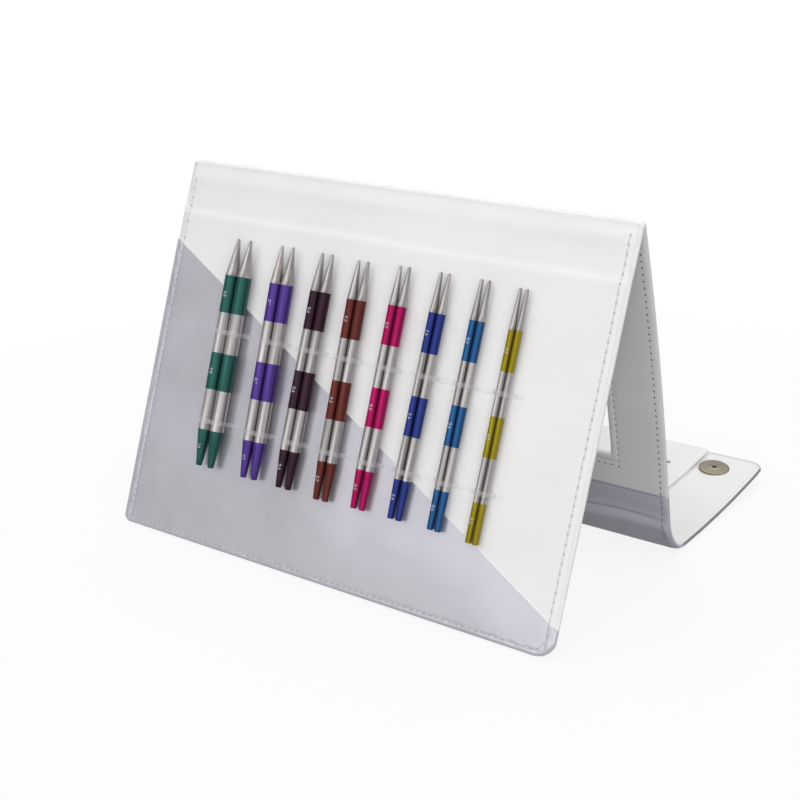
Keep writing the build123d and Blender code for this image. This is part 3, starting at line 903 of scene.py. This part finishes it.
def walk(points, pitch):
    """Evenly spaced (place, direction) along a polyline of (x, u) points."""
    places = []
    travelled, due = 0.0, pitch / 2
    for a, b in zip(points, points[1:]):
        a, b = Vector(a), Vector(b)
        length = (b - a).length
        while due < travelled + length:
            places.append((a.lerp(b, (due - travelled) / length), (b - a) / length))
            due += pitch
        travelled += length
    return places


def seam(name, chain, points, level, colours, hole, pitch=3.8, length=2.7, radius=0.24, side=1, keep=None):
    """Thread over a seam, with a needle hole (length, width) between one stitch and the next, painted dark as the
    shade in it.
    """
    bm = bmesh.new()
    rng = random.Random(name)
    for place, direction in walk(points, pitch):
        x, u = place
        if keep and not keep(x, u):
            continue
        along, up = chain.frame(u, level(x, u))
        along = (along * direction.y + Vector((direction.x, 0, 0))).normalized()
        up = up * side
        turn = Matrix.Rotation(rng.uniform(-0.07, 0.07), 3, up)
        centre = chain.point(x, u, level(x, u) + side * 0.02)
        capsule(bm, centre, turn @ along, up, length * rng.uniform(0.93, 1.05), radius)
        x, u = Vector(place) + direction * pitch / 2
        centre = chain.point(x, u, level(x, u) + side * 0.03)
        capsule(bm, centre, along, up, hole[0] * rng.uniform(0.85, 1.15), hole[1], flat=0.3, index=1)
    return make_object(name, bm, colours)


def corner_path(half, low, high, radii, free_low=True):
    """Down one side, round the free end and up the other."""
    end = low if free_low else high
    sign = 1 if free_low else -1
    start = high if free_low else low
    turns = [math.radians(d) for d in range(0, 91, 10)]
    left, right = (
        [(side * (half - r + r * math.cos(a)), end + sign * (r - r * math.sin(a))) for a in turns]
        for side, r in zip((-1, 1), radii)
    )
    return [(-half, start)] + left + right[::-1] + [(half, start)]


def on_pocket(x, u):
    return u < diagonal(x)


def front_level(x, u):
    if on_pocket(x, u):
        return POCKET_UP + pocket_relief(x, u)
    return LINING_UP + front_relief(x, u)


def off_pocket(x, u):
    return not on_pocket(x, u)


def over(relief):
    return lambda x, u: LINING_UP + relief(x, u)


def under(relief):
    return lambda x, u: -AXIS_UP + relief(x, u)


def sew(name, where, points, level, colours, hole, body=None, **stitch):
    """A seam laid along a chain, or riding on one body of it."""
    piece = seam(name, FLEX[where][0], points, level, colours, hole, **stitch)
    if body:
        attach(piece, body)
    else:
        flex(piece, where)


path = corner_path(FRONT_SEAM, END_INSET, RIDGE_U - 5.5, (3.0, 7.5))
sew("front_stitches", "front", path, front_level, [THREAD, PALE_HOLE_SHADE], (1.5, 0.55),
    pitch=4.6, length=3.1, radius=0.5, keep=off_pocket)
sew("pocket_stitches", "front", path, front_level, [POCKET_THREAD, POCKET_HOLE_SHADE], (1.5, 0.26),
    length=2.3, keep=on_pocket)
sew("front_cover_stitches", "front", path, under(front_cover_relief), [THREAD, PAINTED_HOLE_SHADE], (0.8, 0.3), side=-1)

for side, x in (("left", -REAR_SEAM), ("right", REAR_SEAM)):
    sew("rear_cover_stitches_" + side, "rear", [(x, 4), (x, BAND_START)],
        under(rear_cover_relief), [THREAD, PAINTED_HOLE_SHADE], (1.1, 0.42), radius=0.2, side=-1, body="back_panel")
    sew("rear_band_stitches_" + side, "rear", [(x, BAND_START + 1), (x, LOWER_U + MID_SPINE)],
        under(band_relief), [GREY_THREAD, PAINTED_HOLE_SHADE], (1.1, 0.42), radius=0.2, side=-1)
    sew("tail_band_stitches_" + side, "tail", [(x, MID_SPINE), (x, BEND_U + FLAP_BAND)],
        under(tail_band_relief), [GREY_THREAD, PAINTED_HOLE_SHADE], (0.9, 0.34), radius=0.2, side=-1)
    sew("rear_lining_stitches_" + side, "rear", [(x, 5), (x, LOWER_U + MID_SPINE)],
        over(rear_lining_relief), [THREAD, FAINT_HOLE_SHADE], (0.8, 0.3))

path = [(x, BAND_START + BAND_SEAM) for x in (-REAR_SEAM - 2, REAR_SEAM + 2)]
sew("band_edge_stitches", "rear", path, under(band_relief), [GREY_THREAD, SHADE_HOLE], (1.3, 0.3),
    length=2.2, side=-1, body="back_panel")
seam_x, seam_top, seam_bottom = WINDOW_HALF + 4.2, WINDOW_TOP - 4.2, WINDOW_BOTTOM + 6.5
path = [(-seam_x, seam_top), (seam_x, seam_top), (seam_x, seam_bottom), (-seam_x, seam_bottom)]
path.append(path[0])
sew("window_stitches", "rear", path, under(rear_cover_relief), [THREAD, SHADE_HOLE], (1.4, 0.38),
    length=2.2, side=-1, body="back_panel")
sew("window_lining_stitches", "rear", path, over(rear_lining_relief), [THREAD, FAINT_HOLE_SHADE], (0.8, 0.3),
    body="back_panel")
path = corner_path(FLAP_SEAM, MID_SPINE, TAIL_END - END_INSET, (6.0, 6.0), free_low=False)
sew("flap_stitches", "tail", path, over(tail_relief), [THREAD, FAINT_HOLE_SHADE], (0.6, 0.2))
path = corner_path(FLAP_SEAM, BEND_U + FLAP_BAND, TAIL_END - END_INSET, (6.0, 6.0), free_low=False)
sew("flap_cover_stitches", "tail", path, under(flap_cover_relief), [GREY_THREAD, PAINTED_HOLE_SHADE], (0.8, 0.3),
    side=-1, body="flap")


# ---- lathed pieces

def lathe(bm, profile, matrix, segments=40):
    """Turns (radius, height, material index) points about the matrix's Z."""
    before = None
    for r, h, index in profile:
        turns = [2 * math.pi * k / segments for k in range(segments if r else 1)]
        ring = [
            bm.verts.new(matrix @ Vector((r * math.cos(a) * MM, r * math.sin(a) * MM, h * MM))) for a in turns
        ]
        faces = []
        pairs = [(k, (k + 1) % segments) for k in range(segments)]
        if before and len(ring) == 1:
            faces = [bm.faces.new([before[k], before[n], ring[0]]) for k, n in pairs]
        elif before and len(before) == 1:
            faces = [bm.faces.new([before[0], ring[n], ring[k]]) for k, n in pairs]
        elif before:
            faces = bridge(bm, before, ring, True)
        for face in faces:
            face.material_index = index
        before = ring


def turned(name, bm, materials, degrees):
    """A lathed piece whose turned edges stay sharp."""
    piece = make_object(name, bm, materials)
    piece.modifiers.new("edges", "EDGE_SPLIT").split_angle = math.radians(degrees)
    return piece


def panel_matrix(panel, x, s, c, tilt=0.0, flip=False):
    """Local frame on a panel: Z out of the lining, or out of the cover, tilted about the line across."""
    y, z = panel.at(s, c)
    heading = panel.heading(s)
    along = Vector((0, math.cos(heading), math.sin(heading)))
    out = Vector((0, -math.sin(heading), math.cos(heading)))
    if flip:
        out, along = -out, -along
    across = Vector((1, 0, 0))
    m = Matrix((across, along, out)).transposed().to_4x4()
    m.translation = Vector((x, y, z)) * MM
    return m @ Matrix.Rotation(tilt, 4, "Y")


# A needle from its socket up: the tapered cap, the bands between these heights, the ground cone
CAP, CONE = 20.3, 20.6
CAP_END = 1.65
BANDS = [CAP, 42.5, 62.8, 85.0, 105.3]
TURNED_STEP = 0.04
MARK_SIZE, MARK_RISE = 2.6, 0.04
MARKS_AT = (95.0, 52.5, 11.0)


def needle_matrix(i, sign):
    tilt = math.atan2(PAIR_TIP_X[i] - PAIR_END_X[i], NEEDLE_LENGTH)
    aside = sign * (DIAMETERS[i] + PAIR_GAP) / 2
    x = PAIR_END_X[i] + aside * math.cos(tilt)
    s = PANEL_LENGTH - TIP_DROP[i] - NEEDLE_LENGTH * math.cos(tilt) - aside * math.sin(tilt)
    level = LINING_UP + OVERLAY_THICK + NEEDLE_CLEAR + DIAMETERS[i] / 2
    base = panel_matrix(NEEDLE, x, s, level)
    across = Vector((math.cos(tilt), -math.sin(tilt), 0))
    along = Vector((math.sin(tilt), math.cos(tilt), 0))
    local = Matrix((across, along.cross(across), along)).transposed().to_4x4()
    return base @ local


def needle_profile(r):
    """Socket, coloured cap, bare and coloured bands in turn, ground cone. Index 0 is bare, 1 coloured."""
    end = min(CAP_END, r)
    bare = r - TURNED_STEP
    points = [(0, 8.0, 1), (1.1, 8.0, 1), (1.1, 0.25, 1), (1.25, 0.0, 1), (end - 0.2, 0.0, 1), (end, 0.25, 1)]
    points += [(end + (r - end) * k / 6, 0.25 + (CAP - 0.25) * k / 6, 1) for k in range(1, 7)]
    for index, low, high in zip((0, 1, 0, 1), BANDS, BANDS[1:]):
        if index:
            points += [(r, low + 0.02, 1), (r, high - 0.02, 1)]
        else:
            points += [(bare, low + 0.08, 0), (bare, high - 0.02, 0)]
    cone_start = NEEDLE_LENGTH - CONE
    points += [(r, cone_start - 0.01, 1), (bare, cone_start + 0.05, 0)]
    for k in range(1, 9):
        t = k / 8
        points.append((bare + (0.85 - r + TURNED_STEP) * t, cone_start + (CONE - 0.8) * t, 0))
    points += [(0.72, NEEDLE_LENGTH - 0.42, 0), (0.42, NEEDLE_LENGTH - 0.12, 0), (0, NEEDLE_LENGTH, 0)]
    return points


def mark_mesh(bm, text, matrix, r, start, turn):
    """Small numerals of the size, wrapped round the needle and read along it."""
    taper = 0.115 * (r - CAP_END) / (DIAMETERS[0] / 2 - CAP_END) if start < CAP else 0.0
    curve = bpy.data.curves.new("mark", "FONT")
    curve.body = text
    curve.size = MARK_SIZE
    curve.align_x = "CENTER"
    curve.align_y = "CENTER"
    holder = bpy.data.objects.new("mark", curve)
    bpy.context.scene.collection.objects.link(holder)
    bpy.context.view_layer.update()
    flat = bpy.data.meshes.new_from_object(holder)
    made = []
    for v in flat.vertices:
        angle = turn + v.co.y / r
        outer = r + MARK_RISE + taper * v.co.x
        place = Vector((outer * math.cos(angle), outer * math.sin(angle), start + v.co.x)) * MM
        made.append(bm.verts.new(matrix @ place))
    for p in flat.polygons:
        bm.faces.new([made[k] for k in p.vertices]).material_index = 2
    bpy.data.objects.remove(holder)
    bpy.data.curves.remove(curve)
    bpy.data.meshes.remove(flat)


for i, diameter in enumerate(DIAMETERS):
    for side, sign in (("left", -1), ("right", 1)):
        tag = "%02d_%s" % (round(diameter * 10), side)
        bm = bmesh.new()
        matrix = needle_matrix(i, sign)
        lathe(bm, needle_profile(diameter / 2), matrix)
        for start in MARKS_AT if side == "left" else ():
            r = CAP_END + (diameter / 2 - CAP_END) * min(1.0, start / CAP)
            mark_mesh(bm, "%.1f" % diameter, matrix, r, start, -math.pi / 2)
        piece = turned("tip_%s_metal" % tag, bm, [SILVER, COLOURS[i], MARK], 35)
        dress(piece, "tip_" + tag, ANODISED[i][0], "needle_" + tag)


# ---- elastic loops

LOOP_CLEAR = 0.32
LOOP_FOOT, LOOP_TAIL = 1.6, 5.0
LOOP_HUG = 106  # degrees of each needle that the strip goes round
STRIP_WIDTH, STRIP_THICK = 2.6, 0.34


def pair_x(i, drop):
    share = (drop - TIP_DROP[i]) / NEEDLE_LENGTH
    return PAIR_TIP_X[i] + (PAIR_END_X[i] - PAIR_TIP_X[i]) * share


def base_level(x, drop):
    return front_level(x, PANEL_LENGTH - drop) + 0.12


def loop_path(drop):
    """(x, c) points of one strip: sewn down between the pairs, stretched over each of them."""
    points = []
    for i, d in enumerate(DIAMETERS):
        x = pair_x(i, drop)
        r = d / 2 + LOOP_CLEAR
        centre = LINING_UP + OVERLAY_THICK + NEEDLE_CLEAR + d / 2
        left, right = x - (d + PAIR_GAP) / 2, x + (d + PAIR_GAP) / 2
        feet = [left - r - LOOP_TAIL] if i == 0 else []
        points += [(foot, base_level(foot, drop)) for foot in feet + [left - r - LOOP_FOOT]]
        for middle, first in ((left, 90 + LOOP_HUG), (right, 90)):
            for k in range(9):
                a = math.radians(first - LOOP_HUG * k / 8)
                points.append((middle + r * math.cos(a), centre + r * math.sin(a)))
        foot = right + r + LOOP_FOOT
        points.append((foot, base_level(foot, drop)))
    points.append((foot + LOOP_TAIL, base_level(foot + LOOP_TAIL, drop)))
    return points


def elastic(name, drop):
    bm = bmesh.new()
    points = [Vector(p) for p in loop_path(drop)]
    s = PANEL_LENGTH - drop
    before = None
    section = [(-1, -0.5), (-1, 0.5), (-0.86, 1), (0.86, 1), (1, 0.5), (1, -0.5), (0.86, -1), (-0.86, -1)]
    for k, p in enumerate(points):
        a, b = points[max(k - 1, 0)], points[min(k + 1, len(points) - 1)]
        d = (b - a).normalized()
        out = Vector((-d.y, d.x))
        ring = []
        for along, up in section:
            q = p + out * (up * STRIP_THICK / 2)
            ring.append(bm.verts.new(FRONT.point(q.x, s + along * STRIP_WIDTH / 2, q.y)))
        if before:
            bridge(bm, before, ring, True)
        else:
            bm.faces.new(ring)
        before = ring
    bm.faces.new(before[::-1])
    return make_object(name, bm, ELASTIC)


def loop_stitches(name, drop):
    """A small tack each side of every pair."""
    bm = bmesh.new()
    for i, d in enumerate(DIAMETERS):
        reach = (d + PAIR_GAP) / 2 + d / 2 + LOOP_CLEAR + 2.3
        for side in (-1, 1):
            x = pair_x(i, drop) + side * reach
            for k in (-1, 1):
                u = PANEL_LENGTH - drop + k * 0.45
                up = FRONT.frame(u, LINING_UP)[1]
                centre = FRONT.point(x, u, base_level(x, drop) + 0.22)
                capsule(bm, centre, Vector((1, 0, 0)), up, 1.1, 0.26)
    return make_object(name, bm, THREAD)


for name, drop in (("upper", LOOP_DROP[0]), ("lower", LOOP_DROP[1])):
    dress(elastic(name + "_elastic", drop), "needle_panel", "elastic", name + "_loops")
    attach(loop_stitches(name + "_loop_stitches", drop), "needle_panel")


# ---- snaps

SOCKET = [
    (1.4, 0.5, 0), (1.4, 1.1, 0), (1.6, 1.24, 0), (2.4, 1.22, 0), (3.2, 1.02, 0), (3.9, 0.93, 0), (5.0, 0.9, 0),
    (7.9, 0.92, 0), (8.7, 0.84, 0), (9.1, 0.6, 0), (9.25, 0.2, 0), (9.2, -0.3, 0),
]
# The bore's floor takes the second material, painted dark as the shade in the hole
FLOOR_OF_BORE = [(0, 0.45, 1), (0.9, 0.4, 1), (1.4, 0.5, 0)]
STUD = [
    (0, 4.5, 0), (1.2, 4.5, 0), (1.6, 4.35, 0), (1.8, 4.0, 0), (1.75, 1.6, 0), (2.1, 1.2, 0), (5.6, 1.1, 0),
    (6.6, 0.9, 0), (7.0, 0.4, 0), (6.9, -0.3, 0),
]
STUD_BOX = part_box("snap_stud_left")
STUD_AT = (STUD_BOX[0] + STUD_BOX[1]) / 2 / MM
STUD_ALONG = (STUD_AT.y - FOOT[0]) * math.cos(NEEDLE_ANGLE) + (STUD_AT.z - FOOT[1]) * math.sin(NEEDLE_ANGLE)
SOCKET_RADIUS = 9.3
SOCKET_RISE = SOCKET_RADIUS ** 2 / FLAP.radius  # keeps the disc's rim clear of the bowed flap
SOCKET_TILT = 0.07
for side, x in (("left", -SNAP_X), ("right", SNAP_X)):
    bm = bmesh.new()
    place = panel_matrix(FLAP, x, SNAP_ALONG, LINING_UP + SOCKET_RISE, tilt=math.copysign(SOCKET_TILT, x))
    lathe(bm, FLOOR_OF_BORE + SOCKET, place, 64)
    piece = turned("socket_disc_" + side, bm, [NICKEL, BORE_SHADE_NICKEL], 50)
    dress(piece, "flap", "snap", "snap_socket_" + side, "snap_magnet_" + side, "socket_washer_" + side)
    bm = bmesh.new()
    lathe(bm, STUD, panel_matrix(NEEDLE, x, STUD_ALONG, -AXIS_UP, flip=True), 48)
    piece = turned("stud_disc_" + side, bm, NICKEL, 50)
    dress(piece, "needle_panel", "snap", "snap_stud_" + side, "stud_washer_" + side)


# ---- ends of the ridge's roll

RIDGE_END = [(2.2, -1.2, 0), (2.15, -0.3, 0), (1.9, 0.35, 0), (1.3, 0.8, 0), (0.6, 0.95, 0), (0, 1.0, 0)]
for side, sign in (("left", -1), ("right", 1)):
    bm = bmesh.new()
    turn = Matrix(((0, 0, sign), (0, 1, 0), (-sign, 0, 0))).to_4x4()
    turn.translation = Vector((sign * (HALF - 1.4), RIDGE[0], RIDGE[1])) * MM
    lathe(bm, RIDGE_END, turn, 32)
    end = make_object("ridge_end_" + side, bm, INNER)
    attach(end, "back_panel")


# ---- thread end

def thread_end():
    """A few loose ends of thread at the right edge of the back panel."""
    bm = bmesh.new()
    for dx, du, turn in ((0.6, 0.0, 0.3), (0.9, 0.6, -0.4), (0.5, -0.6, 0.9), (1.1, 0.1, 0.1)):
        along = Vector((math.cos(turn), math.sin(turn), 0.3)).normalized()
        up = along.cross(Vector((0, 1, 0))).normalized()
        capsule(bm, REAR.point(HALF + dx - 0.4, 138.5 + du, 0.6), along, up, 2.3, 0.26)
    return make_object("thread_end", bm, GREY_THREAD)


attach(thread_end(), "back_panel")


# ---- floor, camera, light

# Paper that glows where the camera, glass or gloss sees it, and dims a little near the object as a painted shade
# round it
paper = Material("paper_floor", 0.9, Specular_IOR_Level=0.1)
fibres = paper.add("ShaderNodeTexNoise", Scale=40.0).outputs["Fac"]
paper.link(paper.ramp(fibres, (0.0, srgb("565656")), (1.0, srgb("5a5a5a"))), "Base Color")
seen, glossy = paper.rays()
distance = paper.add("ShaderNodeVectorMath", {0: paper.coordinates}, operation="LENGTH").outputs["Value"]
# the glow is lower near the object: a painted shade on the floor round it
level = paper.range(distance, 0.87, 1.0, 0.35, 1.6)
strength = paper.math("MULTIPLY", paper.math("MULTIPLY_ADD", glossy, 0.6, seen), level)
glow = paper.add("ShaderNodeEmission", {"Strength": strength})
both = paper.add("ShaderNodeAddShader", {0: paper.shader.outputs[0], 1: glow.outputs[0]})
paper.tree.links.new(both.outputs[0], paper.tree.nodes["Material Output"].inputs["Surface"])
bm = bmesh.new()
bmesh.ops.create_grid(bm, x_segments=8, y_segments=8, size=12.0)
floor = make_object("floor", bm, paper.data)
floor.location.z = -0.0004

camera = bpy.data.objects.new("camera", bpy.data.cameras.new("camera"))
camera.data.lens = 63.70
camera.data.sensor_width = 36.0
camera.data.clip_start = 0.01
camera.location = Vector((412.72, -652.35, 341.64)) * MM
forward = Vector((-0.53612, 0.77246, -0.34041))
camera.rotation_euler = forward.to_track_quat("-Z", "Y").to_euler()
bpy.context.scene.collection.objects.link(camera)
bpy.context.scene.camera = camera
bpy.context.scene.view_settings.view_transform = "Standard"

world = bpy.data.worlds.new("studio")
bpy.context.scene.world = world
world.use_nodes = True
studio = Nodes(world.node_tree)
direction = studio.add("ShaderNodeTexCoord").outputs["Generated"]


def toward(x, y, z):
    """1 towards a direction and -1 away from it."""
    node = studio.add("ShaderNodeVectorMath", {0: direction}, operation="DOT_PRODUCT")
    node.inputs[1].default_value = Vector((x, y, z)).normalized()
    return node.outputs["Value"]


def wall(turned_to, *stops):
    """A grey for each (place, value), from 0 away from the direction to 1 towards it."""
    return studio.ramp(studio.range(turned_to, 0.0, 1.0, -1.0), *((place, (v, v, v, 1)) for place, v in stops))


# White to the camera, pale to what is glossy, dim to the rest, and brightest ahead of the needles
dim = wall(toward(0.6, -0.8, 0.1), (0.0, 0.28), (0.5, 0.42), (0.8, 0.95), (1.0, 1.25))
pale = wall(
    toward(0.1, -0.98, 0.16), (0.0, 0.5), (0.5, 0.5), (0.74, 0.4), (0.84, 0.22), (0.9, 1.1), (0.95, 1.2),
)
right = wall(toward(1, -0.1, 0), (0.0, 0.0), (0.78, 0.0), (0.92, 0.3), (1.0, 0.3))
seen, glossy = studio.rays()
room = studio.add("ShaderNodeMix", {"Factor": glossy, "A": dim, "B": studio.math("ADD", pale, right)})
shown = studio.add("ShaderNodeMix", {"Factor": seen, "A": room.outputs["Result"]}, B=1.0)
background = world.node_tree.nodes["Background"]
background.inputs["Color"].default_value = (1, 1, 1, 1)
studio.tree.links.new(shown.outputs["Result"], background.inputs["Strength"])


def softbox(name, place, aim, size, power):
    light = bpy.data.lights.new(name, "AREA")
    light.shape = "RECTANGLE"
    light.size, light.size_y = size
    light.energy = power
    holder = bpy.data.objects.new(name, light)
    holder.location = place
    holder.rotation_euler = (Vector(aim) - Vector(place)).to_track_quat("-Z", "Y").to_euler()
    bpy.context.scene.collection.objects.link(holder)
    return holder


softbox("key", (-0.9, -1.3, 1.6), (0, 0, 0.08), (2.3, 1.8), 12.2)
softbox("top", (-0.3, 0.85, 1.6), (0, 0.06, 0), (1.8, 1.5), 14)
softbox("side", (0.95, -1.2, 0.3), (0.12, 0, 0.06), (0.9, 0.6), 5).visible_glossy = False
